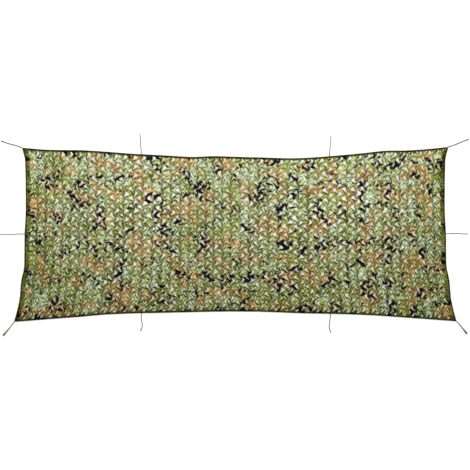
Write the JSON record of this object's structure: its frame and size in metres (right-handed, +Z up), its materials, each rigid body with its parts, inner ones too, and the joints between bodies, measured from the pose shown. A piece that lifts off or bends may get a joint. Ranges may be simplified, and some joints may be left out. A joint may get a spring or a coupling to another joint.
{
  "type": "camouflage net",
  "caption": "Leaf-cut camouflage net of printed cloth, laid out flat, for cover or shade: a long rectangle whose bound edges are drawn in between its corners, with short tie cords.",
  "frame": {"origin": "middle of the bound outline, on the surface that the net lies on", "axes": "+X along the net's length to the right, +Y across it towards its shorter long edge, +Z up from the surface"},
  "size_m": [4.3284, 1.8704, 0.0148],
  "materials": {
    "printed_cloth": "matt plain-woven polyester with a green, tan and dark brown camouflage print",
    "binding_cloth": "the same printed cloth, folded double over a rope and stitched, much darker",
    "tie_cord": "matt braided polypropylene, dark grey"
  },
  "bodies": {
    "root": {"net_cloth": "printed_cloth", "binding_bottom": "binding_cloth", "binding_left": "binding_cloth", "binding_right": "binding_cloth", "binding_top": "binding_cloth", "tie_bottom_left": "tie_cord", "tie_bottom_left_corner": "tie_cord", "tie_bottom_right": "tie_cord", "tie_bottom_right_corner": "tie_cord", "tie_left": "tie_cord", "tie_right": "tie_cord", "tie_top_left": "tie_cord", "tie_top_left_corner": "tie_cord", "tie_top_right": "tie_cord", "tie_top_right_corner": "tie_cord"}
  },
  "joints": []
}
